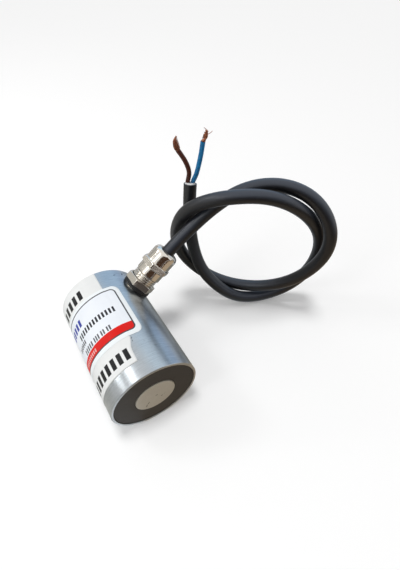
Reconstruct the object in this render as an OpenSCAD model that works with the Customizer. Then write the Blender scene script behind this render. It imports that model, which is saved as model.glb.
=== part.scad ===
// Round holding electromagnet: a thin steel housing tube closed by a back plate, a solid pole
// core inside it, a potted coil between the two, and a short two-core cable that leaves the
// side through a hexagon cable gland.
// Origin: centre of the rear face, at the mouth of the mounting thread. The magnet lies on its
// side, +Z up, its axis along Y and its holding face towards -Y.

/* [Magnet] */
// Outer diameter of the housing tube
body_d = 50; // [46:0.5:60]
// Overall length, rear face to holding face
body_len = 78; // [66:0.5:120]
// Wall of the housing tube
tube_wall = 1.4; // [1:0.1:2.4]
// Diameter of the round pole in the holding face
core_d = 23; // [16:0.5:26]
// Thickness of the back plate
plate_t = 7; // [4:0.5:9]
// Bevel on the rear edge of the tube
rear_bevel = 0.8; // [0.2:0.1:0.9]
// Broken edge round the holding face
face_break = 0.3; // [0.1:0.1:0.5]

/* [Rear mounting thread] */
// Core diameter of the tapped hole (M8 thread)
thread_bore_d = 6.8; // [4:0.1:8.6]
// Depth of the tapped hole
thread_depth = 14; // [8:0.5:25]
// Diameter of the core's spigot through the back plate
spigot_d = 14; // [11:0.5:15]

/* [Coil] */
// Space for the wiring between the gland's thread and the coil former
wiring_space = 4.4; // [3:0.1:12]
// Depth of the resin plug in front of the coil former
face_resin_t = 4; // [2:0.5:8]
// How far the resin lies below the holding face
resin_recess = 0.3; // [0:0.05:1]
// Wall of the coil former's tube
former_wall = 1.1; // [0.6:0.1:2]
// Thickness of the coil former's flanges
flange_t = 1.5; // [0.8:0.1:3]
// Space between the coil former's flanges and the tube
flange_gap = 1; // [0.4:0.1:3]
// Depth of the winding below the rim of the flanges
winding_sink = 1.2; // [0.8:0.1:4]
// Thickness of the tape over the winding
tape_t = 0.4; // [0.2:0.1:0.8]

/* [Cable gland] */
// Gap between the back plate and the gland's thread
gland_gap = 0.4; // [0.2:0.1:8]
// Angle of the gland's axis above the horizontal
gland_angle = 36.87; // [0:0.01:45]
// Outer diameter of the gland's thread (PG9)
gland_thread_d = 15.2; // [14:0.1:16]
// Pitch of the gland's thread
gland_pitch = 1.41; // [1:0.01:2]
// Width across the flats of the gland's hexagons
gland_af = 17; // [17:0.5:22]
// How far the gland's thread reaches inside the tube's outer surface
gland_reach = 5; // [3:0.5:7]
// Thickness of the gasket above the tube
gasket_t = 3; // [1:0.1:4]
// How far the gasket is squeezed down over the round of the tube
gasket_squeeze = 0.2; // [0.1:0.1:1]
// Diameter of the gasket
gasket_d = 17.9; // [17.5:0.1:24]
// Thickness of the lock nut
locknut_t = 3.8; // [3:0.1:7]
// Length of thread left showing above the lock nut
thread_showing = 4.4; // [1:0.1:10]
// Thickness of the gland body's round collar
collar_t = 5.5; // [3:0.1:7]
// Diameter of the gland body's round collar
collar_d = 16.2; // [15.4:0.1:18]
// Thickness of the hexagon on the dome nut
dome_hex_t = 3.2; // [2:0.1:6]
// Height of the dome above its hexagon
dome_h = 10.1; // [9:0.1:16]
// Diameter of the dome
dome_d = 16.2; // [15.6:0.1:18]
// Radius of the dome's rounded shoulder
dome_round = 3; // [1.5:0.1:3.4]
// Turn of the lock nut's hexagon
locknut_turn = 0; // [0:1:59]
// Turn of the dome nut's hexagon
dome_hex_turn = 4; // [0:1:59]

/* [Cable] */
// Outer diameter of the cable
cable_d = 8; // [6:0.1:8.2]
// Diameter of one insulated core
core_wire_d = 2.8; // [2:0.1:3]
// Thickness of the cable's jacket
jacket_t = 0.8; // [0.4:0.1:1.2]
// Length of the bare filler past the jacket's end
filler_h = 0.8; // [0.4:0.1:2]
// Length of the bare strands on the brown core
brown_strand_len = 7.5; // [4:0.5:14]
// Length of the bare strands on the blue core
blue_strand_len = 5.5; // [4:0.5:14]
// Thickness of a core's insulation
insulation_t = 0.3; // [0.2:0.05:0.6]

/* [Label] */
// Thickness of one layer of label
label_t = 0.12; // [0.08:0.01:0.3]
// Angle of the label's near edge
label_from = 90; // [80:1:120]
// Angle of the label's far edge
label_to = 205; // [150:1:225]
// Bare tube between the label and the holding face
label_margin = 9.3; // [3:0.1:12]
// Length of the label's near edge that is torn back
tear_len = 15.7; // [10:0.1:20]
// How far back the label's near edge is torn
tear_w = 2.8; // [0.5:0.1:6]
// Angle of the upper label's near edge
patch_from = 70.8; // [62:0.1:90]
// Angle of the upper label's far edge
patch_to = 200; // [120:1:220]
// Distance from the rear face to the upper label
patch_start = 15.4; // [6:0.1:30]
// Length of the upper label along the magnet
patch_len = 37.6; // [20:0.1:45]
// Radius of the upper label's corners
patch_round = 4; // [1:0.1:8]

/* [Hidden] */
$fn = 96;

// Clearance between pieces that are pushed or screwed together
fit = 0.1;
// Overlap that a cutting tool needs past the face it cuts
cut = 1;

body_r = body_d/2;
label_len = body_len - label_margin;
tube_r = body_r - tube_wall;
core_r = core_d/2;

// Gland thread and coil, measured along the magnet from the rear face
gland_thread_r = gland_thread_d/2;
gland_pos = plate_t + gland_gap + gland_thread_r;
coil_start = gland_pos + gland_thread_r + wiring_space;
former_end = body_len - face_resin_t;
former_len = former_end - coil_start;
former_in_r = core_r + fit;
former_out_r = former_in_r + former_wall;
flange_r = tube_r - flange_gap;
winding_r = flange_r - winding_sink;
winding_start = coil_start + flange_t;
winding_len = former_len - 2*flange_t;

// Gland stack, measured outwards along its axis from the magnet's axis
gland_foot = body_r - gland_reach;
locknut_s = body_r + gasket_t;
thread_top = locknut_s + locknut_t + thread_showing;
dome_s = thread_top + collar_t;
dome_base = dome_s + dome_hex_t;
gland_mouth = dome_base + dome_h;
ridge_h = 0.6*gland_pitch;
hex_r = gland_af/2/cos(30);
hex_bevel = (hex_r - gland_af/2)*0.95;
collar_bevel = 0.3;

// Inside of the gland
cable_r = cable_d/2;
entry_gap = 0.35;
entry_r = cable_r + entry_gap;
seal_wall = 0.6;
seal_r = cable_r + fit + seal_wall;
claw_wall = 0.7;
claw_r = seal_r + fit + claw_wall;
claw_nose = 0.35;
claw_slots = 8;
claw_slot_w = 0.7;
socket_r = claw_r + fit;
socket_depth = 1.2;
socket_s = dome_s - socket_depth;
neck_wall = 1;
neck_r = socket_r + neck_wall;
nut_bore_r = neck_r + fit;
mouth_gap = 0.3;
mouth_r = cable_r + mouth_gap;
mouth_wall = 1.2;
cone_h = 1.8;
cone_foot = gland_mouth - mouth_wall - cone_h;
claw_show = 1.4;
neck_top = cone_foot - claw_show;

// Wiring between the gland and the coil, in a pocket of the rear resin
pocket_wall = 1;
tail_side = core_wire_d*0.6;
sleeve_wall = 0.7;
sleeve_r = core_wire_d/2 + sleeve_wall;
sleeve_gap = 0.7;
lead_r = 0.6;
sleeve_ring = (core_r + pocket_wall + gland_foot)/2;
sleeve_angle = asin((gland_thread_r + sleeve_r + sleeve_gap)/sleeve_ring);
sleeve_len = 7.5;
lead_len = 1.5;
sleeve_end = coil_start - lead_len;
sleeve_start = sleeve_end - sleeve_len;
pocket_side = 16;
pocket_angle = sleeve_angle + pocket_side;

// The cable's route, a smooth curve drawn by these points, from inside the gland to the cut end
cable_route = [
    [22, -15, 16.5], [32, -15, 24], [44, -15, 33], [56, -15, 42], [83, -20, 64],
    [103, -34, 72], [119, -50, 67], [127, -63, 51], [129, -66, 29], [120, -58, 6],
    [108, -44, -9], [94, -28, -15], [80, -16, -11], [67, -5, 0], [55, 0, 24],
    [57, -7, 51.7], [67, -22, 65.5], [79, -33, 70], [95.4, -43, 70.3], [116.3, -51.3, 57.2],
    [133.2, -56, 34.2], [135, -54, 5], [123, -47.6, -15], [104, -39.2, -22.6], [85, -32.4, -18.9],
    [72, -22, -4], [65, -13, 11], [65.3, -3, 36], [70.3, 2, 62]
];
rings_per_span = 2;
cable_sides = 10;
cable_line = along(cable_route, rings_per_span);
jacket_start = norm([cable_route[0][0], cable_route[0][2]]);

// Where the two cores leave the jacket, and the way they go
cable_end = cable_line[len(cable_line) - 1];
end_way = tangent(cable_line, len(cable_line) - 1);
end_side = unit(cross([0.5, 0.8, 0], end_way));
core_gap = core_wire_d*0.56;
core_straight = 1.6;
core_rings_per_span = 3;
core_sides = 8;
brown_start = cable_end + end_way*fit - end_side*core_gap;
blue_start = cable_end + end_way*fit + end_side*core_gap;
brown_route = [
    brown_start, brown_start + end_way*core_straight, [70, 1.1, 70.6], [68.1, 4.2, 77.5], [65, 5.9, 82.9]
];
blue_route = [
    blue_start, blue_start + end_way*core_straight, [72, -3.1, 70.4], [76.5, -0.8, 81.7], [76.7, -1.9, 88.2]
];

// The bare strands of a core: lobes round them, depth of the valleys, turn and taper to the tip
strand_lobes = 5;
strand_valley = 0.68;
strand_twist = 150;
strand_taper = 0.55;

// ---- curves and sweeps ----

function unit(v) = v/norm(v);

// Point on a uniform cubic spline, t from 0 to 1 between b and c
function spline_at(a, b, c, d, t) =
    (pow(1 - t, 3)*a + (3*pow(t, 3) - 6*t*t + 4)*b
     + (-3*pow(t, 3) + 3*t*t + 3*t + 1)*c + pow(t, 3)*d)/6;

// The route's points with one more past each end, so that the curve starts and stops on them
function with_ends(p) = concat([2*p[0] - p[1]], p, [2*p[len(p) - 1] - p[len(p) - 2]]);

// Points along the curve, n to each span
function along(p, n) =
    let (q = with_ends(p))
    [for (i = [0:len(q) - 4], k = [0:n - 1]) spline_at(q[i], q[i + 1], q[i + 2], q[i + 3], k/n),
     p[len(p) - 1]];

function tangent(p, i) = unit(p[min(i + 1, len(p) - 1)] - p[max(i - 1, 0)]);

// A ring of points square to the path, its first point carried on from the ring before
function carried(side, t) = unit(side - t*(side*t));
function sides(p, i, side) =
    i == len(p) ? [] :
    let (s = carried(side, tangent(p, i)))
    concat([s], sides(p, i + 1, s));

module sweep(p, r, n) {
    start = abs(tangent(p, 0)*[0, 1, 0]) > 0.9 ? [1, 0, 0] : [0, 1, 0];
    s = sides(p, 0, start);
    m = len(p);
    rings = [for (i = [0:m - 1], k = [0:n - 1])
        let (t = tangent(p, i), u = s[i], v = cross(t, u), a = 360*k/n)
        p[i] + r*(cos(a)*u + sin(a)*v)];
    walls = [for (i = [0:m - 2], k = [0:n - 1], h = [0, 1])
        let (a = i*n + k, b = i*n + (k + 1)%n)
        h == 0 ? [a, a + n, b] : [b, a + n, b + n]];
    caps = [[for (k = [0:n - 1]) k], [for (k = [n - 1:-1:0]) (m - 1)*n + k]];
    polyhedron(rings, concat(walls, caps), convexity = 10);
}

// ---- places ----

// Turns local +Z to a given way, at a given place
module towards(place, way) {
    translate(place) rotate([0, acos(way[2]), atan2(way[1], way[0])]) children();
}

// Local +Z runs along the magnet from the rear face, and angles count from +X towards +Z
module along_body() {
    rotate([90, 0, 0]) children();
}

// Local +Z runs outwards along the gland's axis from the magnet's axis
module at_gland() {
    along_body() translate([0, 0, gland_pos]) rotate([0, 0, gland_angle]) rotate([0, 90, 0])
        children();
}

module ring(r_out, r_in, h) {
    rotate_extrude() translate([r_in, 0]) square([r_out - r_in, h]);
}

// A hexagon with its corners turned off at the top, and at the bottom where both is true
module hexagon(h, both) {
    intersection() {
        cylinder(r = hex_r, h = h, $fn = 6);
        rotate_extrude() polygon([
            [0, 0],
            [both ? hex_r - hex_bevel : hex_r, 0],
            [hex_r, both ? hex_bevel*0.6 : 0],
            [hex_r, h - hex_bevel*0.6],
            [hex_r - hex_bevel, h],
            [0, h]
        ]);
    }
}

// A disc with both of its rims bevelled
module bevelled_disc(r, h, bevel) {
    rotate_extrude() polygon([[0, 0], [r - bevel, 0], [r, bevel], [r, h - bevel], [r - bevel, h], [0, h]]);
}

// Half profile of a threaded rod from z0 to z1: one ridge for each turn
function thread_profile(r, z0, z1) =
    let (turns = floor((z1 - z0)/gland_pitch), root = r - ridge_h, p = (z1 - z0)/turns)
    concat([[0, z0], [root, z0]],
        [for (i = [0:turns - 1], q = [[root, 0.08], [r, 0.42], [r, 0.58], [root, 0.92]])
            [q[0], z0 + (i + q[1])*p]],
        [[root, z1], [0, z1]]);

// A slice of the space round the magnet's axis between two angles
module slice(from, to, r, h) {
    reach = 2*r;
    steps = ceil((to - from)/60);
    linear_extrude(h) polygon(concat([[0, 0]],
        [for (i = [0:steps]) let (a = from + (to - from)*i/steps) reach*[cos(a), sin(a)]]));
}

// ---- magnet ----

module housing_tube() color("lightsteelblue") difference() {
    along_body() rotate_extrude() polygon([
        [tube_r, 0],
        [body_r - rear_bevel, 0],
        [body_r, rear_bevel],
        [body_r, body_len - face_break],
        [body_r - face_break, body_len],
        [tube_r, body_len]
    ]);
    at_gland() translate([0, 0, body_r - tube_wall*3]) cylinder(r = gland_thread_r + fit, h = tube_wall*6);
}

module back_plate() color("silver") along_body()
    ring(tube_r - fit, spigot_d/2 + fit, plate_t);

module pole_core() color("darkkhaki") along_body() difference() {
    rotate_extrude() polygon([
        [0, 0],
        [spigot_d/2, 0],
        [spigot_d/2, plate_t],
        [core_r, plate_t],
        [core_r, body_len - face_break],
        [core_r - face_break, body_len],
        [0, body_len]
    ]);
    translate([0, 0, -cut]) cylinder(d = thread_bore_d, h = thread_depth + cut);
}

// Resin plug that closes the coil space at the holding face
module face_resin() color("#3b342f") along_body() translate([0, 0, former_end])
    ring(tube_r - fit, core_r + fit, face_resin_t - resin_recess);

// Resin behind and round the coil, with a pocket left for the wiring
module rear_resin() color("#4a423a") along_body() difference() {
    translate([0, 0, plate_t]) ring(tube_r - fit, core_r + fit, former_end - plate_t);
    translate([0, 0, coil_start]) cylinder(r = flange_r + fit, h = former_len + cut);
    intersection() {
        translate([0, 0, plate_t - cut]) ring(tube_r + cut, core_r + pocket_wall, coil_start - plate_t + 2*cut);
        slice(gland_angle - pocket_angle, gland_angle + pocket_angle, body_r, coil_start + cut);
    }
}

// ---- coil ----

module coil_former() color("ivory") along_body() translate([0, 0, coil_start]) difference() {
    rotate_extrude() polygon([
        [former_in_r, 0],
        [flange_r, 0],
        [flange_r, flange_t],
        [former_out_r, flange_t],
        [former_out_r, former_len - flange_t],
        [flange_r, former_len - flange_t],
        [flange_r, former_len],
        [former_in_r, former_len]
    ]);
    for (side = [-1, 1])
        rotate([0, 0, gland_angle + side*sleeve_angle])
            translate([sleeve_ring, 0, -cut]) cylinder(r = lead_r + fit, h = flange_t + 2*cut, $fn = 24);
}

module coil_winding() color("peru") along_body() translate([0, 0, winding_start])
    ring(winding_r, former_out_r + fit, winding_len);

module coil_tape() color("khaki") along_body() translate([0, 0, winding_start])
    ring(winding_r + fit + tape_t, winding_r + fit, winding_len);

// The winding's two ends, out through the rear flange to the sleeves
module coil_leads() color("peru") along_body()
    for (side = [-1, 1])
        rotate([0, 0, gland_angle + side*sleeve_angle])
            translate([sleeve_ring, 0, sleeve_end])
                cylinder(r = lead_r, h = winding_start - sleeve_end, $fn = 24);

module splice_sleeves() color("dimgray") along_body()
    for (side = [-1, 1])
        rotate([0, 0, gland_angle + side*sleeve_angle])
            translate([sleeve_ring, 0, sleeve_start]) cylinder(r = sleeve_r, h = sleeve_end - sleeve_start);

// A point near the gland's axis: out along it, to the side of it, and along the magnet
function near_gland(out, side, w) =
    [out*cos(gland_angle) - side*sin(gland_angle), -w, out*sin(gland_angle) + side*cos(gland_angle)];
function round_body(angle, r, w) =
    [r*cos(gland_angle + angle), -w, r*sin(gland_angle + angle)];

// One core from the jacket's inner end, down through the gland and round to its sleeve
module core_tail(side) {
    w = gland_pos;
    far = side*sleeve_angle;
    sweep(along([
        near_gland(jacket_start - fit, side*tail_side, w),
        near_gland(gland_foot, side*tail_side, w),
        near_gland(sleeve_ring, side*2*tail_side, w),
        round_body(far*0.8, sleeve_ring, w),
        round_body(far, sleeve_ring, sleeve_start - core_wire_d),
        round_body(far, sleeve_ring, sleeve_start - fit)
    ], core_rings_per_span), core_wire_d/2, core_sides);
}

module core_tail_brown() color("saddlebrown") core_tail(1);

module core_tail_blue() color("dodgerblue") core_tail(-1);

// ---- cable gland ----

// Soft washer under the lock nut, squeezed down where it meets the tube
module gland_gasket() color("#161616") difference() {
    at_gland() translate([0, 0, body_r - gasket_squeeze])
        ring(gasket_d/2, gland_thread_r + fit, gasket_t + gasket_squeeze);
    along_body() cylinder(r = body_r + fit, h = body_len, $fn = 192);
}

module gland_locknut() color("gainsboro") at_gland() translate([0, 0, locknut_s]) difference() {
    rotate([0, 0, locknut_turn]) hexagon(locknut_t, false);
    translate([0, 0, -cut]) cylinder(r = gland_thread_r + fit, h = locknut_t + 2*cut);
}

module gland_body() color("gainsboro") at_gland() difference() {
    union() {
        rotate_extrude() polygon(thread_profile(gland_thread_r, gland_foot, thread_top));
        translate([0, 0, thread_top - cut]) cylinder(r = gland_thread_r - ridge_h, h = 2*cut);
        translate([0, 0, thread_top]) bevelled_disc(collar_d/2, collar_t - fit, collar_bevel);
        translate([0, 0, dome_s - cut]) cylinder(r = neck_r, h = neck_top - dome_s + cut);
    }
    translate([0, 0, gland_foot - cut]) cylinder(r = entry_r, h = dome_s - gland_foot);
    translate([0, 0, socket_s]) cylinder(r = socket_r, h = dome_h + dome_hex_t);
}

// Ring of springy claws that the dome nut closes on the seal
module gland_claws() color("whitesmoke") at_gland() difference() {
    rotate_extrude() polygon([
        [seal_r + fit, socket_s + fit],
        [claw_r, socket_s + fit],
        [claw_r, neck_top],
        [claw_r - claw_nose, cone_foot - fit],
        [seal_r + fit, cone_foot - fit]
    ]);
    for (i = [0:claw_slots - 1])
        rotate([0, 0, i*360/claw_slots])
            translate([0, -claw_slot_w/2, dome_s]) cube([claw_r + cut, claw_slot_w, dome_h]);
}

module gland_seal() color("#202020") at_gland() translate([0, 0, socket_s + fit])
    ring(seal_r, cable_r + fit, gland_mouth - mouth_wall - socket_s - 2*fit);

module gland_dome_nut() color("gainsboro") at_gland() difference() {
    union() {
        translate([0, 0, dome_s]) rotate([0, 0, dome_hex_turn]) hexagon(dome_hex_t, true);
        rotate_extrude() {
            translate([0, dome_s]) square([dome_d/2, gland_mouth - dome_round - dome_s]);
            translate([0, gland_mouth - dome_round - fit]) square([dome_d/2 - dome_round, dome_round + fit]);
            translate([dome_d/2 - dome_round, gland_mouth - dome_round]) circle(r = dome_round);
        }
    }
    rotate_extrude() polygon([
        [0, dome_s - cut],
        [nut_bore_r, dome_s - cut],
        [nut_bore_r, neck_top + fit],
        [claw_r + fit, cone_foot],
        [claw_r + fit, gland_mouth - mouth_wall],
        [mouth_r, gland_mouth - mouth_wall],
        [mouth_r, gland_mouth + cut],
        [0, gland_mouth + cut]
    ]);
}

// ---- cable ----

module cable_jacket() color("#4a4d55") sweep(cable_line, cable_r, cable_sides);

module cable_filler() color("white") difference() {
    towards(cable_end, end_way) cylinder(r = cable_r - jacket_t, h = filler_h);
    for (start = [brown_start, blue_start])
        towards(start - end_way*cut, end_way)
            cylinder(r = core_wire_d/2 + 2*fit, h = filler_h + 2*cut, $fn = 32);
}

module core_brown() color("saddlebrown") sweep(along(brown_route, core_rings_per_span), core_wire_d/2, core_sides);

module core_blue() color("dodgerblue") sweep(along(blue_route, core_rings_per_span), core_wire_d/2, core_sides);

// Twisted bare strands standing on the end of a core
module strands(route, length) {
    last = route[len(route) - 1];
    way = unit(last - route[len(route) - 2]);
    crest = core_wire_d/2 - insulation_t;
    towards(last + way*fit, way)
        linear_extrude(length, twist = strand_twist, slices = 5, scale = strand_taper, convexity = 6, $fn = 3)
            polygon([
                for (i = [0:2*strand_lobes - 1])
                    let (a = 180*i/strand_lobes, r = i%2 == 0 ? crest : strand_valley*crest)
                    r*[cos(a), sin(a)]
            ]);
}

module strands_brown() color("orange") strands(brown_route, brown_strand_len);

module strands_blue() color("orange") strands(blue_route, blue_strand_len);

// ---- labels ----

// A sheet wrapped on the tube between two angles, at a given layer
module wrapped(layer, from, to, start, length) {
    r = body_r + fit/2 + layer*(label_t + fit/2);
    translate([0, 0, start]) intersection() {
        ring(r + label_t, r, length);
        slice(from, to, body_r, length);
    }
}

// Cuts a shape through the label at an angle: the shape's x runs back along the magnet, its y round it
module cut_through(angle, w) {
    rotate([0, 0, angle]) translate([0, 0, w]) rotate([0, 90, 0]) linear_extrude(2*body_r) children();
}

// What a rounded corner takes off, in the quarter that x_way and y_way point to
module corner(x_way, y_way) {
    steps = 8;
    back = fit - patch_round;
    polygon(concat([[x_way*cut, y_way*back], [x_way*cut, y_way*cut], [x_way*back, y_way*cut]],
        [for (i = [0:steps]) let (a = 90*i/steps)
            [x_way*(back + patch_round*sin(a)), y_way*(back + patch_round*cos(a))]]));
}

// Lower label: a plain sheet round the magnet's upper left side, its near edge torn back at the front
module label_base() color("ghostwhite") along_body() difference() {
    wrapped(0, label_from, label_to, rear_bevel, label_len - rear_bevel);
    cut_through(label_from, label_len) polygon([
        [tear_len, -cut],
        [tear_len, -fit],
        [tear_len*0.78, tear_w*0.35],
        [tear_len*0.46, tear_w],
        [-cut, tear_w],
        [-cut, -cut]
    ]);
}

// Upper label, laid over the lower one and on to the bare tube
module label_patch() color("aliceblue") along_body() difference() {
    wrapped(1, patch_from, patch_to, patch_start, patch_len);
    cut_through(patch_from, patch_start) corner(1, -1);
    cut_through(patch_to, patch_start) corner(1, 1);
    cut_through(patch_from, patch_start + patch_len) corner(-1, -1);
    cut_through(patch_to, patch_start + patch_len) corner(-1, 1);
}

housing_tube();
back_plate();
pole_core();
face_resin();
rear_resin();
coil_former();
coil_winding();
coil_tape();
coil_leads();
splice_sleeves();
core_tail_brown();
core_tail_blue();
gland_gasket();
gland_locknut();
gland_body();
gland_claws();
gland_seal();
gland_dome_nut();
cable_jacket();
cable_filler();
core_brown();
core_blue();
strands_brown();
strands_blue();
label_base();
label_patch();
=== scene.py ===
"""Dresses a round holding electromagnet: a zinc plated steel tube with a potted pole face, a
nickel plated cable gland on a rubber washer, two plain labels, and a looped two-core cable."""
import math
import random

import bmesh
import bpy
from mathutils import Matrix, Vector


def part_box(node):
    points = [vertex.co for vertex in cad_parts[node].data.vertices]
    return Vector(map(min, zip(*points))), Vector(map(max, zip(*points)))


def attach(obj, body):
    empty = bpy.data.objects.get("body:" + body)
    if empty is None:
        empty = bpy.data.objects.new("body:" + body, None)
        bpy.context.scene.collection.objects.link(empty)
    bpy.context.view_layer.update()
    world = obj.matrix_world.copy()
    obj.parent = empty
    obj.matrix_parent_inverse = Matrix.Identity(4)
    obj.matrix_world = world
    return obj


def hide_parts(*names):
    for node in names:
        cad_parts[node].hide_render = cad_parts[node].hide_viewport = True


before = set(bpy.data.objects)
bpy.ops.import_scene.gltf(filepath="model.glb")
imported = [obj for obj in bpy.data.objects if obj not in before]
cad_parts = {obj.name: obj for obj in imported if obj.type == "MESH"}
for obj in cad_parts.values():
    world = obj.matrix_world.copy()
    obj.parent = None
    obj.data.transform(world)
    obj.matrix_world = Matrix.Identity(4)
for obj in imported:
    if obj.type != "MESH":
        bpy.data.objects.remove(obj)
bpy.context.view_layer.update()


# ---- sizes, in millimetres, in the CAD model's frame ----

MM = 0.001
tube_low, tube_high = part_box("housing_tube")
TUBE_R = (tube_high.x - tube_low.x) / 2 / MM
TUBE_LEN = (tube_high.y - tube_low.y) / MM
TUBE_WALL = 1.4
BORE_R = TUBE_R - TUBE_WALL
REAR_CHAMFER = 0.8
FRONT_CHAMFER = 0.3
FLOOR_Z = -TUBE_R
# Between pieces that go into each other
CLEARANCE = 0.1
POLE_R = 11.5
POTTING_SINK = 0.3
POTTING_T = 3.6
PLATE_T = 7.0
SPIGOT_R = 7.0

# The tapped hole in the pole
THREAD_R = 3.4
THREAD_DEPTH = 14.0
THREAD_PITCH = 1.25
THREAD_RIDGE = 0.6
THREAD_CHAMFER = 0.7
THREAD_RUNOUT = 0.4

# The gland. _S is a height on its axis, counted from the magnet's axis, and _T a thickness
GLAND_POS = 15.0
GLAND_ANGLE = math.radians(36.87)
GLAND_THREAD_R = 7.6
GLAND_PITCH = 1.41
GLAND_RIDGE = 0.82
GLAND_FLATS = 17.0
GLAND_FOOT_S = 20.0
THREAD_TOP_S = 36.2
WASHER_R = 8.95
WASHER_T = 3.0
WASHER_SQUEEZE = 0.2
# How much flatter the tightened lock nut presses the washer
WASHER_PRESSED = 0.7
LOCKNUT_S = TUBE_R + WASHER_T
LOCKNUT_T = 3.8
# How much taller the two hexagons are than in the CAD model
LOCKNUT_TALLER = 0.4
DOME_HEX_TALLER = 0.3
NECK_R = 6.7
COLLAR_R = 8.1
COLLAR_T = 5.4
COLLAR_BORE_R = 4.4
DOME_HEX_S = 41.7
DOME_HEX_T = 3.2
DOME_R = 8.1
DOME_ROUND = 3.0
MOUTH_S = 55.0
MOUTH_R = 4.34

# The labels. Angles count from +X towards +Z, and distances from the rear face
LABEL_NEAR = 90.0
LABEL_FAR = 205.0
LABEL_REAR = 0.9
LABEL_FRONT = 68.7
PATCH_NEAR = 70.8
PATCH_FAR = 200.0
PATCH_REAR = 15.4
PATCH_FRONT = 53.0
PATCH_CORNER = 4.0
# The frame that is printed on the upper label: its angles, its ends and its corners
PRINTED_FRAME = (76.8, 194, 17.4, 50.1, 3.0)
RED_FIELD_START = 44.3
INK_BLUR = 0.06
# How far off the tube a label's two sides are
FILM_LOW = 0.02
FILM_HIGH = 0.16
# How the upper label steps up on to the lower one: height in millimetres, angles in degrees
STEP_UP = 0.15
STEP_START = LABEL_NEAR - 1.2
STEP_WIDTH = 1.4

# The cable and its cores
CABLE_R = 4.0
JACKET_WALL = 0.8
CORE_R = 1.4
# How far each core stands off the filler's middle, where 0.5 of its thickness would let the two
# touch, and how far both stand back from it
CORE_OFFSET = CORE_R * 2 * 0.56
CORE_LEAN = 0.7
# How far up a core starts, how deep its root goes down from there, and how far it runs straight
CORE_LIFT = 0.1
CORE_ROOT = 0.3
CORE_STRAIGHT = 1.6
STRANDS = 40
STRAND_R = 0.17
# The turn from one strand to the next that fills a round bundle evenly
GOLDEN_ANGLE = 2.39996

CABLE_ROUTE = [
    (22, -15, 16.5), (32, -15, 24), (44, -15, 33), (56, -15, 42), (83, -20, 64),
    (103, -34, 72), (119, -50, 67), (127, -63, 51), (129, -66, 29), (120, -58, 6),
    (108, -44, -9), (94, -28, -15), (80, -16, -11), (67, -5, 0), (55, 0, 24),
    (57, -7, 51.7), (67, -22, 65.5), (79, -33, 70), (95.4, -43, 70.3), (116.3, -51.3, 57.2),
    (133.2, -56, 34.2), (135, -54, 5), (123, -47.6, -15), (104, -39.2, -22.6), (85, -32.4, -18.9),
    (72, -22, -4), (65, -13, 11), (65.3, -3, 36), (70.3, 2, 62),
]
BROWN_ROUTE = [(70, 1.1, 70.6), (68.1, 4.2, 77.5), (65, 5.9, 82.9)]
BROWN_TIP = [(63.8, 5.9, 86.2), (63.1, 5.4, 89.0), (63.4, 4.3, 91.9)]
BLUE_ROUTE = [(72, -3.1, 70.4), (76.5, -0.8, 81.7), (76.7, -1.9, 88.2)]
BLUE_TIP = [(77.5, -2.6, 90.6), (77.9, -3.3, 92.6), (78.0, -3.9, 94.9)]

# Local +Z runs along the magnet from its rear face; angles count from +X towards +Z
ALONG_TUBE = Matrix.Rotation(math.radians(90), 4, "X")
# Local +Z runs outwards along the gland's axis from the magnet's axis
ON_GLAND = (
    ALONG_TUBE
    @ Matrix.Translation((0, 0, GLAND_POS))
    @ Matrix.Rotation(GLAND_ANGLE, 4, "Z")
    @ Matrix.Rotation(math.radians(90), 4, "Y")
)


# ---- shader graphs written as Python expressions ----


class Channel:
    """One output of a shader node. Sums and products of channels add their Math nodes."""

    def __init__(self, graph, socket):
        self.graph = graph
        self.socket = socket

    def __add__(self, other):
        return self.graph.maths("ADD", self, other)

    def __sub__(self, other):
        return self.graph.maths("SUBTRACT", self, other)

    def __mul__(self, other):
        return self.graph.maths("MULTIPLY", self, other)

    def __truediv__(self, other):
        return self.graph.maths("DIVIDE", self, other)

    def __pow__(self, other):
        return self.graph.maths("POWER", self, other)

    def __radd__(self, other):
        return self.graph.maths("ADD", other, self)

    def __rsub__(self, other):
        return self.graph.maths("SUBTRACT", other, self)

    def __rmul__(self, other):
        return self.graph.maths("MULTIPLY", other, self)

    def __rtruediv__(self, other):
        return self.graph.maths("DIVIDE", other, self)

    def __neg__(self):
        return self.graph.maths("MULTIPLY", self, -1.0)

    def __abs__(self):
        return self.graph.maths("ABSOLUTE", self)


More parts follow.
